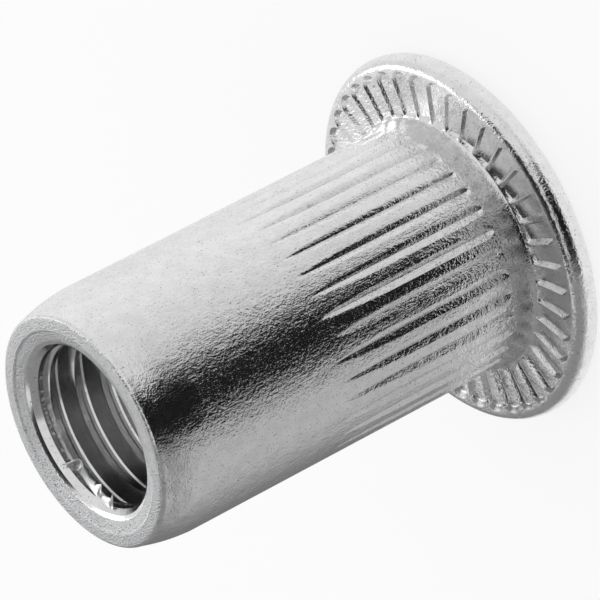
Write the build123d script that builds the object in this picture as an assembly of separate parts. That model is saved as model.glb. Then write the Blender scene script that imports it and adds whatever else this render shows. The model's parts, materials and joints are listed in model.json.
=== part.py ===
"""Rivet nut for an M10 screw: flat head, splined body, serrated seat under the head.

The nut stands on its head. The origin is the centre of the head's outer face, and +Z
runs along the bore towards the open, threaded end. All lengths are in millimetres.
"""

import math
import os

from build123d import *

# Thread. Its ridges are finer than this model needs, so the threaded stretch is a
# plain bore at the thread's minor diameter.
thread_major = 10.0
thread_pitch = 1.5
thread_length = 10.8  # from the open end to the shoulder where the chamber begins

# Body
chamber_clearance = 0.45  # radial, between the screw and the wall that folds when set
wall = 1.05  # of that wall
length_under_head = 22.9
tip_taper_length = 2.7
tip_taper_depth = 0.42  # radial, lost over the taper
tip_round = 0.3
neck_flare = 0.35  # cone where the body meets the head

# Mouth of the thread
mouth_margin = 0.2  # radial, beyond the thread's major diameter
mouth_depth = 0.6

# Head
head_overhang = 3.2  # radial, beyond the body
head_thickness = 1.5
head_edge_reach = 0.6  # radial, of the half ellipse that rounds the head's edge
head_bore_chamfer = 0.3
shoulder_angle = 45.0  # degrees, of the cone between the chamber and the thread

# Splines pressed into the body over the wall that folds
groove_count = 36
first_groove = 2.5  # degrees from +X
groove_width = 0.66
groove_floor = 0.12
groove_depth = 0.2
groove_run_out = 2.8  # over which a groove rises to its point
groove_end_run = 0.2  # over which it rises at the head's side
collar = 1.6  # smooth stretch between the head and the grooves

# Serrations pressed into the seat: shallow pockets with a ridge between each two
pocket_count = 40
pocket_depth = 0.26
pocket_shallow_depth = 0.12  # at the side away from the steep wall
pocket_run_out = 0.4
seat_margin = 0.05  # flat ring left inside and outside the pockets
ridge_width = 0.2
steep_run = 0.25
gentle_run = 0.3
ridge_offset = -2.0  # degrees from the first groove to the nearest ridge

# Places worked out from the sizes above
minor_radius = (thread_major - 1.0825 * thread_pitch) / 2
chamber_radius = thread_major / 2 + chamber_clearance
mouth_radius = thread_major / 2 + mouth_margin
body_radius = chamber_radius + wall
tip_radius = body_radius - tip_taper_depth
head_radius = body_radius + head_overhang
total_length = head_thickness + length_under_head
shoulder_end = total_length - thread_length
shoulder_height = (chamber_radius - minor_radius) / math.tan(math.radians(shoulder_angle))
shoulder_start = shoulder_end - shoulder_height

tool_margin = 0.3  # how far a cutting tool stands out of the metal


def turned_blank():
    """Return the nut as it is turned: the half section spun about the bore."""
    edge_centre = (head_radius - head_edge_reach, head_thickness / 2)
    edge = EllipticalCenterArc(edge_centre, head_edge_reach, head_thickness / 2, -90, arc_size=180)
    outline = Polyline(
        edge @ 1,
        (body_radius, head_thickness),
        (body_radius, total_length - tip_taper_length),
        (tip_radius, total_length),
        (mouth_radius, total_length),
        (minor_radius, total_length - mouth_depth),
        (minor_radius, shoulder_end),
        (chamber_radius, shoulder_start),
        (chamber_radius, 0),
        edge @ 0,
    )
    face = make_face(Plane.XZ * (edge + outline))

    def corner(radius, height):
        target = Vector(radius, 0, height)
        return min(face.vertices(), key=lambda vertex: (vertex.center() - target).length)

    face = fillet(corner(tip_radius, total_length), tip_round)
    face = chamfer(corner(body_radius, head_thickness), neck_flare)
    face = chamfer(corner(chamber_radius, 0), head_bore_chamfer)
    return revolve(face, Axis.Z)


def groove_tool():
    """Return the cutter of one spline groove, at angle zero."""
    floor_radius = body_radius - groove_depth
    top_radius = body_radius + tool_margin
    widening = (groove_width - groove_floor) / (2 * groove_depth)
    half_floor = groove_floor / 2
    half_top = half_floor + widening * (top_radius - floor_radius)
    start = head_thickness + collar + groove_end_run
    run_out_start = shoulder_end - groove_run_out
    section = make_face(
        Polyline(
            (floor_radius, -half_floor),
            (top_radius, -half_top),
            (top_radius, half_top),
            (floor_radius, half_floor),
            close=True,
        )
    )

    def swept(base_height, rise, run):
        """Sweep the section along the nut by run while it rises out of the metal."""
        base = Pos(0, 0, base_height) * section
        return extrude(base, math.hypot(rise, run), dir=(rise, 0, run))

    return (
        swept(start, 0, run_out_start - start)
        + swept(run_out_start, groove_depth, groove_run_out)
        + swept(start, groove_depth, -groove_end_run)
    )


def pocket_section(radius):
    """Return the pocket's section at one radius, across the pocket."""
    half_width = math.pi * radius / pocket_count - ridge_width / 2
    top = head_thickness + tool_margin
    return make_face(
        Plane.YZ.offset(radius)
        * Polyline(
            (-half_width, top),
            (-half_width, head_thickness),
            (-half_width + steep_run, head_thickness - pocket_depth),
            (half_width - gentle_run, head_thickness - pocket_shallow_depth),
            (half_width, head_thickness),
            (half_width, top),
            close=True,
        )
    )


def pocket_tool():
    """Return the cutter of one serration pocket, at angle zero."""
    inner = body_radius + neck_flare + seat_margin
    outer = head_radius - head_edge_reach - seat_margin
    run_out_start = pocket_section(outer - pocket_run_out)
    widening_part = loft([pocket_section(inner), run_out_start], ruled=True)
    rise = (pocket_run_out, 0, pocket_depth)
    return widening_part + extrude(run_out_start, math.hypot(*rise), dir=rise)


def rivet_nut():
    """Return the finished nut."""
    groove = groove_tool()
    pocket = pocket_tool()
    grooves = [place * groove for place in PolarLocations(0, groove_count, first_groove)]
    first_pocket = first_groove + ridge_offset + 180 / pocket_count
    pockets = [place * pocket for place in PolarLocations(0, pocket_count, first_pocket)]
    return turned_blank() - grooves - pockets


os.makedirs("parts", exist_ok=True)
nut = rivet_nut()
export_step(nut, "parts/rivet_nut.step")
print("solids", len(nut.solids()), "volume mm3", round(nut.volume, 1))
print("size mm", nut.bounding_box().size)
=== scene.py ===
"""Rivet nut: the finished look of the part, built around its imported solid.

The file is laid out as a Blender add-on and run as a script. Lengths are in metres in the
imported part's own frame: the nut stands on its head, the origin is the centre of the head's
outer face, and +Z runs along the bore towards the open, threaded end.
"""

import json
import math

import bpy
import numpy as np
from bpy.props import FloatProperty, FloatVectorProperty, IntProperty, PointerProperty
from mathutils import Matrix, Vector


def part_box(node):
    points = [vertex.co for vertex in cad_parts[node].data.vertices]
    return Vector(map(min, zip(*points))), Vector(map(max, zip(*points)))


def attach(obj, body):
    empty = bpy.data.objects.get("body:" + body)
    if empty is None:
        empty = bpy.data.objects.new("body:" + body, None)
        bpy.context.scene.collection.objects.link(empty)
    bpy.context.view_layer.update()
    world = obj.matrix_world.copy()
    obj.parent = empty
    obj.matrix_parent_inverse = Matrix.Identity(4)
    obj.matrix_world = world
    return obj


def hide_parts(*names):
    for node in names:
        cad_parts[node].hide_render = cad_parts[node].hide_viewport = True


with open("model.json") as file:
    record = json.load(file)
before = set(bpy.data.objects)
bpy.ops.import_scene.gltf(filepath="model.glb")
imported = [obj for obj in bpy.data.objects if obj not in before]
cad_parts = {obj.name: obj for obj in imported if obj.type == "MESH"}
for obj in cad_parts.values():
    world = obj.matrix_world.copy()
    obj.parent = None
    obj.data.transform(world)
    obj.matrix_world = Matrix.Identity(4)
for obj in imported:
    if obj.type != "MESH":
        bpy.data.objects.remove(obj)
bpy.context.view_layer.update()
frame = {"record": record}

bl_info = {
    "name": "Rivet nut",
    "version": (1, 0, 0),
    "blender": (4, 5, 0),
    "location": "View3D > Sidebar > Rivet Nut",
    "description": "Models a splined rivet nut with a serrated seat, and a plain studio",
    "category": "Add Mesh",
}

MM = 0.001
NODE = "rivet_nut"
LOW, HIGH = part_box(NODE)
INSIDE = 1e-7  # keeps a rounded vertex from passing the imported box
MOUNTS = {mount["name"]: mount["dims"] for mount in frame["record"]["mounts"]}


def mount_radius(name):
    """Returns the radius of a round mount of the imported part, in metres."""
    return MOUNTS[name]["r_mm"] * MM


# ---------------------------------------------------------------- properties


def length(name, description, default):
    """Returns a length property, in metres."""
    return FloatProperty(
        name=name, description=description, default=default, unit="LENGTH", precision=5
    )


def angle(name, description, degrees):
    """Returns an angle property, given in degrees."""
    return FloatProperty(
        name=name, description=description, default=math.radians(degrees), unit="ROTATION"
    )


def linear(hex_colour):
    """Turns an sRGB hex colour into linear red, green, blue and alpha."""
    channels = [int(hex_colour[i : i + 2], 16) / 255 for i in (1, 3, 5)]
    return (*[c / 12.92 if c <= 0.04045 else ((c + 0.055) / 1.055) ** 2.4 for c in channels], 1.0)


def colour(name, description, hex_colour):
    """Returns a colour property, given as sRGB hex."""
    return FloatVectorProperty(
        name=name,
        description=description,
        default=linear(hex_colour)[:3],
        subtype="COLOR",
        size=3,
        min=0,
        max=1,
    )


class NutSizes(bpy.types.PropertyGroup):
    """Sizes of the nut's own forms."""

    head_radius: length("Head radius", "Of the flat head", min(HIGH.x, HIGH.y, -LOW.x, -LOW.y))
    head_thickness: length("Head thickness", "Of the head at its seat", 1.5 * MM)
    rim_reach: length("Rim reach", "Radial reach of the head's rounded edge", 0.52 * MM)
    body_radius: length("Body radius", "Of the barrel", mount_radius("body"))
    total_length: length("Total length", "From the head's outer face to the open end", HIGH.z - INSIDE)
    neck_reach: length("Neck reach", "Radial reach of the fillet under the head", 0.2 * MM)
    neck_height: length("Neck height", "Height of the fillet under the head", 0.9 * MM)
    taper_length: length("Taper length", "Of the taper at the open end", 2.7 * MM)
    taper_depth: length("Taper depth", "Radius lost over the taper", 0.42 * MM)
    tip_round: length("Tip round", "Of the open end's outer edge", 0.3 * MM)
    chamber_radius: length("Chamber radius", "Of the plain bore", mount_radius("screw_clearance"))
    minor_radius: length("Minor radius", "Of the thread's crests", mount_radius("thread"))
    major_radius: length("Major radius", "Of the thread's roots", 5.0 * MM)
    pitch: length("Pitch", "Of the thread", 1.5 * MM)
    crest: length("Crest", "Width of the thread's crest", 0.29 * MM)
    thread_length: length("Thread length", "From the open end to the chamber", 10.8 * MM)
    band_depth: length("Band depth", "Of the plain band ahead of the first thread", 0.96 * MM)
    thread_start: angle("Thread start", "Where the thread's groove meets the band", -76.5)
    burr_start: angle("Burr start", "Where the torn sliver's free end is", 209.5)
    burr_end: angle("Burr end", "Where the torn sliver meets the thread", 262)
    burr_depth: length("Burr depth", "Of the torn sliver's free end under the open end", 1.05 * MM)
    burr_climb: length("Burr climb", "Height that the torn sliver gains along its length", 0.5 * MM)
    burr_reach: length("Burr reach", "Of the torn sliver into the bore", 0.7 * MM)
    burr_hook: length("Burr hook", "Height of the sliver's free end", 0.75 * MM)
    burr_lean: length("Burr lean", "Lean of the sliver's free end into the bore", 0.25 * MM)
    burr_fold: length("Burr fold", "Height of the sliver's folds", 0.1 * MM)
    burr_thickness: length("Burr thickness", "Of the torn sliver", 0.05 * MM)
    groove_count: IntProperty(name="Grooves", description="Splines round the barrel", default=36)
    groove_first: angle("First groove", "Angle from +X to the first spline", 2.5)
    groove_half_angle: angle("Groove half width", "Seen from the axis", 2.95)
    groove_depth: length("Groove depth", "Of the splines at their middle", 0.165 * MM)
    groove_low: length("Groove foot", "Height where the splines begin", 2.85 * MM)
    groove_high: length("Groove point", "Height where the splines run out", 13.6 * MM)
    groove_taper: length("Groove taper", "Length over which a spline narrows", 5.4 * MM)
    groove_foot: length("Groove foot round", "Length of a spline's rounded foot", 0.45 * MM)
    pocket_count: IntProperty(name="Pockets", description="Serrations of the seat", default=40)
    pocket_first: angle("First ridge", "Angle from +X to the first ridge between pockets", 0.3)
    pocket_depth: length("Pocket depth", "Of a serration beside its steep wall", 0.25 * MM)
    pocket_inner: length("Pocket inner radius", "Where the serrations begin", 6.62 * MM)
    pocket_outer: length("Pocket outer radius", "Lowest reach of the serrations", 8.62 * MM)
    pocket_arch: length("Pocket arch", "How far a serration's rounded end stands out", 0.49 * MM)


class NutFinish(bpy.types.PropertyGroup):
    """Colours and texture of the plated steel."""

    plating: colour("Plating", "Zinc plating on clean steel", "#E7E7E7")
    cut_face: colour("Cut face", "Duller plating on the sheared end", "#F0F1F2")
    roughness: FloatProperty(name="Roughness", description="Of the plating", default=0.17)
    dull_roughness: FloatProperty(name="Dull", description="Of the sheared end", default=0.3)
    peel_size: length("Peel size", "Spacing of the drawn wire's orange peel", 0.17 * MM)
    peel_depth: length("Peel depth", "Height of the orange peel", 0.036 * MM)
    grain_size: length("Grain size", "Spacing of the plating's grain", 0.09 * MM)
    swell_size: length("Swell size", "Spacing of the slow waves in the wall", 0.7 * MM)
    streak_size: length("Streak size", "Spacing of the rolling streaks", 0.07 * MM)


class StageSettings(bpy.types.PropertyGroup):
    """Camera and studio."""

    azimuth: angle("Azimuth", "Of the camera, from +X", 16.1256)
    elevation: angle("Elevation", "Of the camera above the floor", 30.2372)
    roll: angle("Roll", "Of the camera about its line of sight", -117.3934)
    distance: length("Distance", "From the camera to the point it looks at", 331.305 * MM)
    lens: FloatProperty(name="Lens", description="Focal length in millimetres", default=411.97)
    aim: FloatVectorProperty(
        name="Aim",
        description="The point that the camera looks at",
        default=(0.5112 * MM, 1.0252 * MM, 10.8689 * MM),
        subtype="TRANSLATION",
        unit="LENGTH",
    )
    floor_radius: length("Floor radius", "Of the studio floor", 900 * MM)
    floor: colour("Floor", "Matt white sweep", "#FAFAFA")
    sweep_radius: length("Sweep radius", "Of the graded card on the floor", 400 * MM)
    disc_radius: length("Disc radius", "Of the white card under the head", 12.3 * MM)
    wall_radius: length("Wall radius", "Of the upright cards round the nut", 160 * MM)
    wall_height: length("Wall height", "Of the grey card", 230 * MM)
    opening_height: length("Opening height", "Of the black card on the camera's side", 112 * MM)
    ceiling_radius: length("Ceiling radius", "Of the dark card overhead", 185 * MM)
    ceiling: FloatVectorProperty(
        name="Ceiling",
        description="Centre of the dark card overhead",
        default=(77 * MM, 22 * MM, 320 * MM),
        subtype="TRANSLATION",
        unit="LENGTH",
    )
    key: FloatVectorProperty(
        name="Key",
        description="Place of the key lamp",
        default=(-260 * MM, 80 * MM, 220 * MM),
        subtype="TRANSLATION",
        unit="LENGTH",
    )
    key_size: length("Key size", "Side of the key lamp", 140 * MM)
    key_power: FloatProperty(name="Key power", description="In watts", default=0.14)
    white: FloatProperty(name="White", description="Strength of the room's light", default=1.05)


# ---------------------------------------------------------------- modelling helpers

OUTER_SEGMENTS = 720  # 20 to a spline and 18 to a serration
INNER_SEGMENTS = 360
THREAD_SEGMENTS = 180
SMOOTH_ANGLE = math.radians(21)  # over the rim's steps, under the mouth's and the splines' edges
MERGE = 1e-7
FLANK_SLOPE = math.tan(math.radians(30))
ROOT_SLOPE = 0.577  # of the softened corners at the thread's root
PRESS_SEED, TEAR_SEED, BURR_SEED = 7, 3, 11

# Where rings of vertices cross the seat, as shares of its width from the inner edge
SEAT_RINGS = (1, 0.97, 0.92, 0.82, 0.66, 0.5, 0.34, 0.18, 0.08, 0.03, 0)

# Inner edges of the mouth as radius and depth in millimetres: of the shallow countersink, of the
# steep ring and of the cone above the plain band
MOUTH_EDGES = ((4.69, 0.215), (4.46, 0.37), (4.24, 0.7))


def deselect():
    """Leaves nothing selected, because an operator acts on all that is."""
    bpy.ops.object.select_all(action="DESELECT")


def start_outline(name, points):
    """Draws an outline in the XZ plane by extruding one vertex from point to point."""
    deselect()
    bpy.ops.mesh.primitive_plane_add(size=MM)
    outline = bpy.context.object
    outline.name = outline.data.name = name
    bpy.ops.object.mode_set(mode="EDIT")
    bpy.ops.mesh.merge(type="CENTER")
    bpy.ops.transform.translate(value=(points[0][0], 0, points[0][1]))
    for (r0, z0), (r1, z1) in zip(points, points[1:]):
        bpy.ops.mesh.extrude_region_move(TRANSFORM_OT_translate={"value": (r1 - r0, 0, z1 - z0)})
    return outline


def turn(name, points, segments):
    """Turns an outline that starts and ends on the axis into a closed form, as a lathe does."""
    form = start_outline(name, points)
    bpy.ops.mesh.select_all(action="SELECT")
    bpy.ops.mesh.spin(steps=segments, angle=math.tau, center=(0, 0, 0), axis=(0, 0, 1))
    bpy.ops.mesh.select_all(action="SELECT")
    bpy.ops.mesh.remove_doubles(threshold=MERGE)
    bpy.ops.mesh.normals_make_consistent(inside=False)
    bpy.ops.object.mode_set(mode="OBJECT")
    return form


def cut(form, tool):
    """Cuts a tool's shape out of a form and throws the tool away."""
    deselect()
    bpy.context.view_layer.objects.active = form
    form.select_set(True)
    boolean = form.modifiers.new("cut", "BOOLEAN")
    boolean.operation = "DIFFERENCE"
    boolean.solver = "MANIFOLD"
    boolean.object = tool
    bpy.ops.object.modifier_apply(modifier=boolean.name)
    bpy.data.objects.remove(tool)


def vertex_array(form):
    """Returns a form's vertices as rows of x, y and z."""
    co = np.empty(len(form.data.vertices) * 3)
    form.data.vertices.foreach_get("co", co)
    return co.reshape(-1, 3)


def write_vertices(form, co):
    """Moves a form's vertices to new places."""
    form.data.vertices.foreach_set("co", co.astype(np.float32).ravel())
    form.data.update()


def smoothstep(x):
    """Eases from 0 to 1 while x goes from 0 to 1."""
    x = np.clip(x, 0, 1)
    return x * x * (3 - 2 * x)


def finish_piece(form, material):
    """Shades a piece smooth up to its sharp edges and gives it its material."""
    deselect()
    form.select_set(True)
    bpy.context.view_layer.objects.active = form
    bpy.ops.object.shade_smooth_by_angle(angle=SMOOTH_ANGLE)
    form.data.materials.clear()
    form.data.materials.append(material)


# ---------------------------------------------------------------- the nut


def steps(start, end, count):
    """Returns evenly spaced heights or radii after start, up to and with end."""
    return [start + (end - start) * (i + 1) / count for i in range(count)]


def blank_outline(s):
    """Returns the outline of the nut before it is bored, from the head's face to the open end."""
    half = s.head_thickness / 2
    rim_centre = s.head_radius - s.rim_reach
    points = [(0, 0), (s.chamber_radius + 1.5 * MM, 0)]
    for i in range(19):  # the rounded edge of the head is half an ellipse
        a = math.radians(-90 + 10 * i)
        points.append((rim_centre + s.rim_reach * math.cos(a), half + half * math.sin(a)))
    seat = (s.pocket_inner, s.pocket_outer + s.pocket_arch)
    for share in SEAT_RINGS:
        points.append((seat[0] + (seat[1] - seat[0]) * share, s.head_thickness))
    neck_top = s.head_thickness + s.neck_height
    for i in range(1, 9):  # the concave fillet under the head
        a = math.radians(90 * i / 8)
        r = s.body_radius + s.neck_reach * (1 - math.sin(a))
        points.append((r, neck_top - s.neck_height * math.cos(a)))
    taper_start = s.total_length - s.taper_length
    reached = neck_top
    for height, count in (  # the barrel's rings lie closest where the splines begin and run out
        (s.groove_low - 0.1 * MM, 1),
        (s.groove_low + 0.5 * MM, 6),
        (s.groove_high - s.groove_taper, 9),
        (s.groove_high + 0.1 * MM, 18),
        (taper_start, 10),
    ):
        points += [(s.body_radius, z) for z in steps(reached, height, count)]
        reached = height
    tip_radius = s.body_radius - s.taper_depth
    round_low = s.total_length - s.tip_round
    for i in range(1, 9):  # the taper bows out a little, as a rolled end does
        share = i / 8
        bow = 0.18 * s.taper_depth * math.sin(math.pi * share)
        points.append(
            (
                s.body_radius - s.taper_depth * share + bow,
                taper_start + (round_low - taper_start) * share,
            )
        )
    for i in range(1, 7):  # the rounded edge of the open end
        a = math.radians(15 * i)
        points.append(
            (
                tip_radius - s.tip_round * (1 - math.cos(a)),
                round_low + s.tip_round * math.sin(a),
            )
        )
    points += [(s.major_radius + 0.45 * MM, s.total_length), (0, s.total_length)]
    return points


def press_grooves(s, co, rng):
    """Presses the splines into the barrel: shallow vees that narrow to a point up the barrel."""
    r = np.hypot(co[:, 0], co[:, 1])
    turn_angle = np.arctan2(co[:, 1], co[:, 0])
    z = co[:, 2]
    spacing = math.tau / s.groove_count
    number = np.round((turn_angle - s.groove_first) / spacing).astype(int)
    off = turn_angle - s.groove_first - number * spacing
    index = number % s.groove_count
    # no two splines are pressed alike
    reach = rng.uniform(-0.25, 0.15, s.groove_count)[index] * MM
    width = rng.uniform(0.94, 1.04, s.groove_count)[index]
    depth = rng.uniform(0.85, 1.1, s.groove_count)[index]
    high = s.groove_high + reach
    q = np.clip((z - (high - s.groove_taper)) / s.groove_taper, 0, 1)
    foot = np.clip((s.groove_low + s.groove_foot - z) / s.groove_foot, 0, 1)
    half = s.groove_half_angle * width * (1 - q**2) ** 0.65 * np.sqrt(1 - foot**2)
    half = np.where(np.abs(r - s.body_radius) < 0.001 * MM, half, 0)
    inside = half > 1e-6
    u = np.ones_like(off)
    u[inside] = np.clip(np.abs(off[inside]) / half[inside], 0, 1)
    flank = np.where(off < 0, 1.0, 1.6)  # one flank is straight, the other eases into the land
    sink = s.groove_depth * depth * (half / s.groove_half_angle) * (1 - u) ** flank
    scale = 1 - sink / np.maximum(r, 1e-9)
    co[:, 0] *= scale
    co[:, 1] *= scale


def press_pockets(s, co, rng):
    """Presses the seat's serrations: pockets with one steep wall and a rising floor."""
    r = np.hypot(co[:, 0], co[:, 1])
    turn_angle = np.arctan2(co[:, 1], co[:, 0])
    outer = s.pocket_outer + s.pocket_arch
    on_seat = (
        (np.abs(co[:, 2] - s.head_thickness) < 1e-6)
        & (r > s.pocket_inner - 1e-6)
        & (r < outer + 1e-6)
    )
    spacing = math.tau / s.pocket_count
    place = (turn_angle - s.pocket_first) / spacing
    index = np.floor(place).astype(int) % s.pocket_count
    p = place - np.floor(place)
    depth = s.pocket_depth * rng.uniform(0.85, 1.1, s.pocket_count)[index]
    # across a pocket: the steep wall, the floor, the slope up to the next ridge, the ridge
    wall, floor_end, slope_end, shallow = 0.17, 0.86, 0.97, 0.6
    across = np.interp(p, [0, 0.02, wall, floor_end, slope_end, 1], [0, 0, 1, shallow, 0, 0])
    share = np.clip((r - s.pocket_inner) / (outer - s.pocket_inner), 0, 1)
    # a pocket's inner end is nearly straight, its outer end a flat arch
    inner_edge = s.pocket_inner + 0.12 * MM * (2 * p - 1) ** 2
    outer_edge = s.pocket_outer + s.pocket_arch * (1 - np.abs(2 * p - 1) ** 2.5)
    new_r = inner_edge + (outer_edge - inner_edge) * share
    along = smoothstep(share / 0.10) * smoothstep((1 - share) / 0.08)
    scale = np.where(on_seat, new_r / np.maximum(r, 1e-9), 1)
    co[:, 0] *= scale
    co[:, 1] *= scale
    co[:, 2] -= np.where(on_seat, depth * across * along, 0)


def bore_outline(s):
    """Returns the outline of the bore: the mouth's steps, the thread's crest and the chamber."""
    top = s.total_length
    mouth = s.major_radius + 0.2 * MM
    past = 0.3 * MM  # how far the tool stands out at both ends
    shoulder_end = top - s.thread_length
    return [
        (0, top + past),
        (mouth + 0.12 * MM, top + past),
        (mouth + 0.12 * MM, top),
        (mouth + 0.04 * MM, top - 0.04 * MM),
        (mouth, top - 0.08 * MM),
        *[(r * MM, top - depth * MM) for r, depth in MOUTH_EDGES],
        (s.minor_radius + 0.01 * MM, top - s.band_depth),
        (s.minor_radius, top - s.band_depth - 0.02 * MM),
        (s.minor_radius, shoulder_end),
        (s.chamber_radius, shoulder_end - (s.chamber_radius - s.minor_radius)),
        (s.chamber_radius, past),
        (s.chamber_radius + past, 0),
        (s.chamber_radius + past, -past),
        (0, -past),
    ]


def band_stop(s):
    """Returns the ragged disc that stops the tap's coil short of the plain band."""
    low = s.total_length - s.band_depth
    high = s.total_length + 2 * s.pitch
    rings = steps(s.minor_radius - 0.3 * MM, s.major_radius + 0.2 * MM, 8)
    outline = [(0, low), (rings[0] - 0.3 * MM, low), *[(r, low) for r in rings]]
    outline += [(rings[-1] + MM, low), (rings[-1] + MM, high), (0, high)]
    stop = turn("band_stop", outline, INNER_SEGMENTS)
    co = vertex_array(stop)
    torn = (np.abs(co[:, 2] - low) < 1e-6) & (np.hypot(co[:, 0], co[:, 1]) > 1e-6)
    co[torn, 2] += np.random.default_rng(TEAR_SEED).normal(0, 0.012 * MM, torn.sum())
    write_vertices(stop, co)
    return stop


def thread_tool(s):
    """Sweeps the tap's coil: a 60 degree groove that climbs one pitch a turn, cut off at the band."""
    flank = (s.major_radius - s.minor_radius) * FLANK_SLOPE
    open_half = (s.pitch - s.crest) / 2
    root_half = open_half - flank
    soft = 0.06 * MM
    band = s.total_length - s.band_depth
    turns = math.ceil(s.thread_length / s.pitch) + 2
    meet = (s.thread_start % math.tau) / math.tau
    # the groove's middle is half a pitch under the band's edge where the thread starts
    base = band - s.pitch / 2 - s.pitch * meet - s.pitch * (turns - 2)
    section = [
        (s.minor_radius - 0.5 * MM, open_half),
        (s.minor_radius, open_half),
        (s.major_radius - soft, root_half + soft * ROOT_SLOPE),
        (s.major_radius, root_half - soft),
        (s.major_radius, -root_half + soft),
        (s.major_radius - soft, -root_half - soft * ROOT_SLOPE),
        (s.minor_radius, -open_half),
        (s.minor_radius - 0.5 * MM, -open_half),
    ]
    coil = start_outline("thread_tool", [(r, base + h) for r, h in section])
    bpy.ops.mesh.select_all(action="SELECT")
    bpy.ops.mesh.edge_face_add()
    bpy.ops.mesh.delete(type="ONLY_FACE")
    bpy.ops.object.mode_set(mode="OBJECT")
    screw = coil.modifiers.new("screw", "SCREW")
    screw.angle = math.tau
    screw.screw_offset = s.pitch
    screw.iterations = turns
    screw.steps = screw.render_steps = THREAD_SEGMENTS
    screw.use_merge_vertices = False
    bpy.ops.object.modifier_apply(modifier=screw.name)
    bpy.ops.object.mode_set(mode="EDIT")
    bpy.ops.mesh.select_all(action="SELECT")
    bpy.ops.mesh.remove_doubles(threshold=MERGE)
    bpy.ops.mesh.select_all(action="SELECT")
    bpy.ops.mesh.fill_holes(sides=0)
    bpy.ops.mesh.select_all(action="SELECT")
    bpy.ops.mesh.normals_make_consistent(inside=False)
    bpy.ops.object.mode_set(mode="OBJECT")
    cut(coil, band_stop(s))
    return coil


# ---------------------------------------------------------------- materials


def add_node(tree, kind, sockets=None, **settings):
    """Adds one node, applies its settings, and sets or links its inputs."""
    node = tree.nodes.new(kind)
    for name, value in settings.items():
        setattr(node, name, value)
    for name, value in (sockets or {}).items():
        if isinstance(value, bpy.types.NodeSocket):
            tree.links.new(value, node.inputs[name])
        else:
            node.inputs[name].default_value = value
    return node


def new_material(name):
    """Returns a material with an empty node tree."""
    material = bpy.data.materials.new(name)
    material.use_nodes = True
    material.node_tree.nodes.clear()
    return material


def between(tree, value, low, high, soft, within=1.0):
    """Returns a mask that is 1 while a value lies between two limits, inside another mask."""
    mask = within
    for limit, start, end in ((low, 0.0, 1.0), (high, 1.0, 0.0)):
        edge = add_node(
            tree,
            "ShaderNodeMapRange",
            {
                "Value": value,
                "From Min": limit - soft,
                "From Max": limit + soft,
                "To Min": start,
                "To Max": end,
            },
        )
        mask = add_node(
            tree, "ShaderNodeMath", {0: edge.outputs[0], 1: mask}, operation="MULTIPLY"
        ).outputs[0]
    return mask


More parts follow.
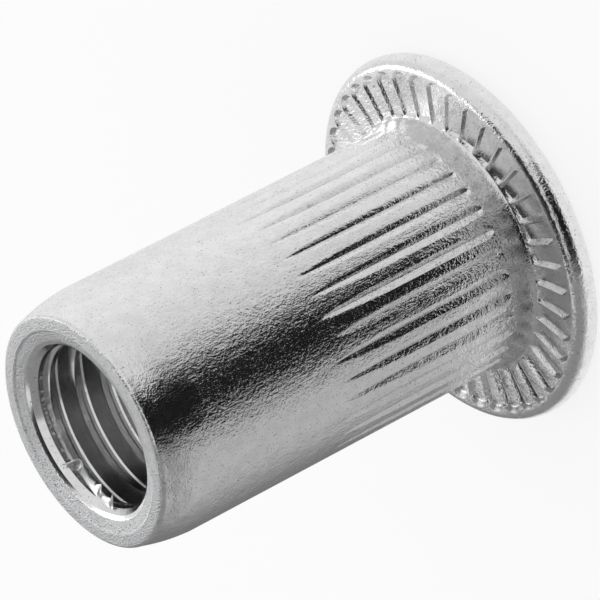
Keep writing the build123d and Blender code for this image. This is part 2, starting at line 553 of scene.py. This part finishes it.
def zinc_plated_steel(f, s):
    """Cold-formed steel under bright zinc: a clear grey metal with the die's orange peel."""
    material = new_material("zinc_plated_steel")
    tree = material.node_tree
    place = add_node(tree, "ShaderNodeTexCoord").outputs["Object"]
    axes = add_node(tree, "ShaderNodeSeparateXYZ", {"Vector": place}).outputs
    flat = add_node(
        tree, "ShaderNodeCombineXYZ", {"X": axes["X"], "Y": axes["Y"], "Z": 0.0}
    ).outputs[0]
    radius = add_node(
        tree, "ShaderNodeVectorMath", {0: flat}, operation="LENGTH"
    ).outputs["Value"]
    height = axes["Z"]
    top = s.total_length
    # the bore is cut and smooth, the barrel is drawn, the end is sheared and dull
    outside = between(tree, radius, 5.75 * MM, 20 * MM, 0.1 * MM)
    barrel = between(tree, height, 2.4 * MM, 21.8 * MM, 0.5 * MM, outside)
    head = between(tree, height, -MM, 2.0 * MM, 0.3 * MM, outside)
    end_face = between(tree, height, top - 0.25 * MM, top + MM, 0.02 * MM)
    end_face = between(tree, radius, 4.66 * MM, 5.95 * MM, 0.05 * MM, end_face)
    relief = 0.0
    patterns = []
    for size, detail, share, stretch, mask in (
        (f.peel_size, 2.0, 1.0, 1.0, barrel),  # orange peel
        (f.grain_size, 1.0, 0.45, 1.0, outside),  # grain of the zinc
        (f.swell_size, 2.0, 1.2, 1.0, outside),  # slow waves
        (f.streak_size, 2.0, 0.35, 25.0, barrel),  # rolling streaks, long along the bore
        (f.peel_size, 2.0, 0.3, 1.0, head),  # softer peel of the head
        (f.grain_size, 3.0, 3.5, 1.0, end_face),  # crumbled surface of the sheared end
    ):
        scaled = add_node(
            tree, "ShaderNodeMapping", {"Vector": place, "Scale": (1, 1, 1 / stretch)}
        )
        pattern = add_node(
            tree,
            "ShaderNodeTexNoise",
            {"Vector": scaled.outputs[0], "Scale": 1 / size, "Detail": detail, "Roughness": 0.55},
        )
        patterns.append(pattern.outputs[0])
        centred = add_node(
            tree, "ShaderNodeMath", {0: pattern.outputs[0], 1: 0.5}, operation="SUBTRACT"
        )
        weight = add_node(tree, "ShaderNodeMath", {0: mask, 1: share}, operation="MULTIPLY")
        relief = add_node(
            tree,
            "ShaderNodeMath",
            {0: centred.outputs[0], 1: weight.outputs[0], 2: relief},
            operation="MULTIPLY_ADD",
        ).outputs[0]
    bump = add_node(tree, "ShaderNodeBump", {"Height": relief, "Distance": f.peel_depth})
    _, grain, swell, _, _, crumble = patterns
    # dull spots in the plating: small dark pits, and a slow change of tone
    pits = add_node(
        tree,
        "ShaderNodeMapRange",
        {"Value": grain, "From Min": 0.26, "From Max": 0.34, "To Min": 0.45, "To Max": 1.0},
    ).outputs[0]
    clouds = add_node(
        tree,
        "ShaderNodeMapRange",
        {"Value": swell, "From Min": 0.3, "From Max": 0.7, "To Min": 0.93, "To Max": 1.03},
    ).outputs[0]
    stain = add_node(tree, "ShaderNodeMath", {0: pits, 1: clouds}, operation="MULTIPLY")
    specks = add_node(
        tree,
        "ShaderNodeMapRange",
        {"Value": crumble, "From Min": 0.36, "From Max": 0.46, "To Min": 0.7, "To Max": 1.0},
    )
    speckled = add_node(
        tree,
        "ShaderNodeVectorMath",
        {0: f.cut_face, "Scale": specks.outputs[0]},
        operation="SCALE",
    )
    tone = add_node(
        tree,
        "ShaderNodeMix",
        {0: end_face, 6: (*f.plating, 1), 7: speckled.outputs[0]},
        data_type="RGBA",
    )
    stained = add_node(
        tree,
        "ShaderNodeVectorMath",
        {0: tone.outputs[2], "Scale": stain.outputs[0]},
        operation="SCALE",
    )
    dull = add_node(
        tree,
        "ShaderNodeMapRange",
        {"Value": end_face, "To Min": f.roughness, "To Max": f.dull_roughness},
    )
    shader = add_node(
        tree,
        "ShaderNodeBsdfPrincipled",
        {
            "Base Color": stained.outputs[0],
            "Metallic": 1.0,
            "Roughness": dull.outputs[0],
            "Normal": bump.outputs[0],
        },
    )
    add_node(tree, "ShaderNodeOutputMaterial", {"Surface": shader.outputs[0]})
    return material


def white_floor(colour_value):
    """Matt white studio paper, which the camera and the metal see as plain white."""
    material = new_material("matt_paper")
    tree = material.node_tree
    rays = add_node(tree, "ShaderNodeLightPath").outputs
    seen = rays["Is Camera Ray"]
    for kind in ("Is Glossy Ray", "Is Transmission Ray"):
        seen = add_node(
            tree, "ShaderNodeMath", {0: seen, 1: rays[kind]}, operation="MAXIMUM"
        ).outputs[0]
    paper = add_node(tree, "ShaderNodeBsdfDiffuse", {"Color": (*colour_value, 1)})
    glow = add_node(tree, "ShaderNodeEmission", {"Color": (1, 1, 1, 1), "Strength": 1.0})
    lit = add_node(tree, "ShaderNodeMixShader", {0: 0.75, 1: paper.outputs[0], 2: glow.outputs[0]})
    mix = add_node(
        tree,
        "ShaderNodeMixShader",
        {0: seen, 1: paper.outputs[0], 2: lit.outputs[0]},
    )
    add_node(tree, "ShaderNodeOutputMaterial", {"Surface": mix.outputs[0]})
    return material


def card_paint(name, shades):
    """Card painted in greys that change round its centre. It lights nothing: only metal mirrors it, so
    greys that change round the centre paint light and shade into the metal's reflections.
    """
    material = new_material(name)
    tree = material.node_tree
    place = add_node(tree, "ShaderNodeTexCoord").outputs["Object"]
    centred = add_node(
        tree, "ShaderNodeMapping", {"Vector": place, "Location": (-SHADE_CENTRE[0], -SHADE_CENTRE[1], 0)}
    )
    heading = add_node(
        tree,
        "ShaderNodeTexGradient",
        {"Vector": centred.outputs[0]},
        gradient_type="RADIAL",
    )
    ramp = add_node(tree, "ShaderNodeValToRGB", {"Fac": heading.outputs["Fac"]})
    stops = sorted((heading_share(degrees), shade) for degrees, shade in shades)
    elements = ramp.color_ramp.elements
    while len(elements) < len(stops):
        elements.new(0.5)
    while len(elements) > len(stops):
        elements.remove(elements[-1])
    for element, (share, shade) in zip(elements, stops):
        element.position = share
        element.color = (shade, shade, shade, 1)
    glow = add_node(tree, "ShaderNodeEmission", {"Color": ramp.outputs["Color"], "Strength": 1.0})
    add_node(tree, "ShaderNodeOutputMaterial", {"Surface": glow.outputs[0]})
    return material


def heading_share(degrees):
    """Returns where a heading lies in a radial gradient, which runs from -180 to 180 degrees."""
    return ((degrees + 180) % 360) / 360


# Greys of the cards by heading in degrees from +X, as a share of white, and the point on the floor that
# the headings turn about. The cards glow in these greys for the metal to mirror. The floor card's greys
# are painted light and shade: lighter towards +Y and −X, darker towards −Y as if the floor there lay in
# shade, with black before the camera. The grey wall card's greys are painted shade.
SHADE_CENTRE = (3.335 * MM, 0.988 * MM)
FLOOR_PAINTED_LIGHT_AND_SHADE = (
    (-163, 0.4),
    (-148, 0.2),
    (-123, 0.22),
    (-103, 0.35),
    (-86, 0.52),
    (-58, 0.54),
    (-29, 0.48),
    (-26.5, 0.01),
    (24, 0.01),
    (34, 0.5),
    (40, 0.66),
    (57, 0.74),
    (77, 0.84),
    (117, 1.0),
    (152, 0.93),
    (177, 0.95),
)
BLACK, DARK, WHITE = ((0, 0.01),), ((0, 0.03),), ((0, 0.95),)
# painted shade: the grey wall card glows darker on the −Y side, and the head's underside mirrors it
# there in place of the body's shadow
WALL_PAINTED_SHADE = ((-165, 0.45), (-150, 0.3), (-90, 0.28), (-30, 0.3))


# ---------------------------------------------------------------- operators


class RIVETNUT_OT_nut(bpy.types.Operator):
    """Models the nut: blank, splines, serrations, bore and thread"""

    bl_idname = "rivetnut.nut"
    bl_label = "Nut"

    def execute(self, context):
        s = context.scene.rivet_nut_sizes
        nut = turn("splined_nut", blank_outline(s), OUTER_SEGMENTS)
        rng = np.random.default_rng(PRESS_SEED)
        co = vertex_array(nut)
        press_pockets(s, co, rng)
        press_grooves(s, co, rng)
        write_vertices(nut, co)
        cut(nut, turn("bore_tool", bore_outline(s), INNER_SEGMENTS))
        cut(nut, thread_tool(s))
        finish_piece(nut, zinc_plated_steel(context.scene.rivet_nut_finish, s))
        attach(nut, "root")
        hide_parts(NODE)
        return {"FINISHED"}


class RIVETNUT_OT_burr(bpy.types.Operator):
    """Models the sliver that the tap has torn at the start of the thread"""

    bl_idname = "rivetnut.burr"
    bl_label = "Thread burr"

    def execute(self, context):
        s = context.scene.rivet_nut_sizes
        deselect()
        bpy.ops.mesh.primitive_grid_add(x_subdivisions=90, y_subdivisions=7, size=2)
        burr = context.object
        burr.name = burr.data.name = "thread_burr"
        co = vertex_array(burr)
        along, across = (co[:, 0] + 1) / 2, (co[:, 1] + 1) / 2
        rng = np.random.default_rng(BURR_SEED)
        tears = 17
        shares = np.sort(rng.uniform(0, 1, tears))
        ragged = np.interp(along, shares, rng.uniform(0.5, 1.0, tears))
        rise = np.interp(along, shares + 0.02, rng.uniform(-1, 1, tears))
        reach = s.burr_reach * ragged * smoothstep(along / 0.06) * smoothstep((1 - along) / 0.03)
        reach = np.maximum(reach, 0.1 * MM)
        hook = (1 - smoothstep(along / 0.1)) * across  # the free end stands up and leans in
        turn_angle = s.burr_start + (s.burr_end - s.burr_start) * along
        r = s.minor_radius + 0.09 * MM - reach * across - s.burr_lean * hook
        fold = s.burr_fold * rise * np.sin(math.pi * across * 1.3)
        z = s.total_length - s.burr_depth - 0.35 * reach * across + fold
        z += s.burr_hook * hook + s.burr_climb * along
        co[:, 0] = r * np.cos(turn_angle)
        co[:, 1] = r * np.sin(turn_angle)
        co[:, 2] = z
        write_vertices(burr, co)
        thick = burr.modifiers.new("thickness", "SOLIDIFY")
        thick.thickness = s.burr_thickness
        thick.offset = 0
        bpy.ops.object.modifier_apply(modifier=thick.name)
        bpy.ops.object.mode_set(mode="EDIT")
        bpy.ops.mesh.select_all(action="SELECT")
        bpy.ops.mesh.normals_make_consistent(inside=False)
        bpy.ops.object.mode_set(mode="OBJECT")
        # the nut's own zinc-plated steel, whose bumps stay outside the bore, so the sliver is smooth
        finish_piece(burr, bpy.data.materials["zinc_plated_steel"])
        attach(burr, "root")
        return {"FINISHED"}


def aim_matrix(t):
    """Returns the camera's place and turn from its azimuth, elevation, roll and distance."""
    back = Vector(
        (
            math.cos(t.elevation) * math.cos(t.azimuth),
            math.cos(t.elevation) * math.sin(t.azimuth),
            math.sin(t.elevation),
        )
    )
    level = Vector((-math.sin(t.azimuth), math.cos(t.azimuth), 0))
    upright = back.cross(level)
    right = level * math.cos(t.roll) + upright * math.sin(t.roll)
    up = back.cross(right)
    turned = Matrix((right, up, back)).transposed().to_4x4()
    return Matrix.Translation(Vector(t.aim) + back * t.distance) @ turned


def soft_box(name, place, target, size, power):
    """Adds one square area lamp that faces the target."""
    bpy.ops.object.light_add(type="AREA", location=place)
    lamp = bpy.context.object
    lamp.name = name
    lamp.rotation_euler = (Vector(target) - Vector(place)).to_track_quat("-Z", "Y").to_euler()
    lamp.data.shape = "SQUARE"
    lamp.data.size = size
    lamp.data.energy = power
    return lamp


def mirror_only(card, paint):
    """Paints a card and leaves it to be seen in the metal alone."""
    card.data.materials.append(paint)
    card.visible_camera = False
    card.visible_diffuse = False
    card.visible_shadow = False
    card.visible_transmission = False
    return card


def level_card(name, radius, centre, paint):
    """Lays a round card level about its centre."""
    deselect()
    bpy.ops.mesh.primitive_circle_add(
        vertices=96, radius=radius, fill_type="NGON", location=centre
    )
    card = bpy.context.object
    card.name = card.data.name = name
    bpy.ops.object.transform_apply(location=True, rotation=True, scale=True)
    return mirror_only(card, paint)


def wall_card(name, radius, height, headings, paint):
    """Stands a curved card on the floor between two headings."""
    first, last = (math.radians(h) for h in headings)
    start = (radius * math.cos(first), radius * math.sin(first))
    deselect()
    bpy.ops.mesh.primitive_plane_add(size=MM)
    card = bpy.context.object
    card.name = card.data.name = name
    bpy.ops.object.mode_set(mode="EDIT")
    bpy.ops.mesh.merge(type="CENTER")
    bpy.ops.transform.translate(value=(*start, 0))
    bpy.ops.mesh.extrude_region_move(TRANSFORM_OT_translate={"value": (0, 0, height)})
    bpy.ops.mesh.select_all(action="SELECT")
    bpy.ops.mesh.spin(steps=24, angle=first - last, center=(0, 0, 0), axis=(0, 0, 1))
    bpy.ops.object.mode_set(mode="OBJECT")
    return mirror_only(card, paint)


class RIVETNUT_OT_stage(bpy.types.Operator):
    """Sets up the floor, the cards, the lamp and the camera"""

    bl_idname = "rivetnut.stage"
    bl_label = "Stage"

    def execute(self, context):
        t = context.scene.rivet_nut_stage
        deselect()
        bpy.ops.mesh.primitive_circle_add(
            vertices=96, radius=t.floor_radius, fill_type="NGON", location=(0, 0, 0)
        )
        floor = context.object
        floor.name = "studio_floor"
        floor.data.materials.append(white_floor(t.floor))
        # the floor card glows in painted light and shade, lighter towards +Y and darker towards −Y,
        # round a black flag before the camera
        sweep = level_card(
            "floor_card", t.sweep_radius, (0, 0, 0.02 * MM), card_paint("painted_light_and_shade_card", FLOOR_PAINTED_LIGHT_AND_SHADE)
        )
        disc = level_card(
            "white_disc", t.disc_radius, (0, 0, 0.04 * MM), card_paint("white_card", WHITE)
        )
        ceiling = level_card(
            "ceiling", t.ceiling_radius, t.ceiling, card_paint("dark_card", DARK)
        )
        # the grey card glows in painted shade on the −Y side, for the head's underside to mirror
        wall = wall_card(
            "wall_card",
            t.wall_radius,
            t.wall_height,
            (-162, -26.5),
            card_paint("painted_shade_card", WALL_PAINTED_SHADE),
        )
        opening = wall_card(
            "opening", t.wall_radius, t.opening_height, (-26.5, 25), card_paint("black_card", BLACK)
        )
        middle = (0, 0, context.scene.rivet_nut_sizes.total_length / 2)
        soft_box("key", t.key, middle, t.key_size, t.key_power)
        world = bpy.data.worlds.new("studio")
        context.scene.world = world
        world.use_nodes = True
        world.node_tree.nodes.clear()
        sky = add_node(world.node_tree, "ShaderNodeBackground", {"Strength": t.white})
        add_node(world.node_tree, "ShaderNodeOutputWorld", {"Surface": sky.outputs[0]})
        bpy.ops.object.camera_add()
        camera = context.object
        camera.name = "camera"
        camera.data.lens = t.lens
        camera.data.sensor_width = 36
        camera.matrix_world = aim_matrix(t)
        context.scene.camera = camera
        context.scene.view_settings.view_transform = "Standard"
        return {"FINISHED"}


class RIVETNUT_PT_panel(bpy.types.Panel):
    """Lists the sizes, finishes and steps"""

    bl_label = "Rivet Nut"
    bl_space_type = "VIEW_3D"
    bl_region_type = "UI"
    bl_category = "Rivet Nut"

    def draw(self, context):
        scene = context.scene
        for group in (scene.rivet_nut_sizes, scene.rivet_nut_finish, scene.rivet_nut_stage):
            box = self.layout.box()
            for name in group.__annotations__:
                box.prop(group, name)
        for operator in (RIVETNUT_OT_nut, RIVETNUT_OT_burr, RIVETNUT_OT_stage):
            self.layout.operator(operator.bl_idname)


CLASSES = (
    NutSizes,
    NutFinish,
    StageSettings,
    RIVETNUT_OT_nut,
    RIVETNUT_OT_burr,
    RIVETNUT_OT_stage,
    RIVETNUT_PT_panel,
)


def register():
    for cls in CLASSES:
        bpy.utils.register_class(cls)
    bpy.types.Scene.rivet_nut_sizes = PointerProperty(type=NutSizes)
    bpy.types.Scene.rivet_nut_finish = PointerProperty(type=NutFinish)
    bpy.types.Scene.rivet_nut_stage = PointerProperty(type=StageSettings)


def unregister():
    del bpy.types.Scene.rivet_nut_stage
    del bpy.types.Scene.rivet_nut_finish
    del bpy.types.Scene.rivet_nut_sizes
    for cls in reversed(CLASSES):
        bpy.utils.unregister_class(cls)


def main():
    register()
    bpy.ops.rivetnut.nut()
    bpy.ops.rivetnut.burr()
    bpy.ops.rivetnut.stage()


if __name__ == "__main__":
    main()
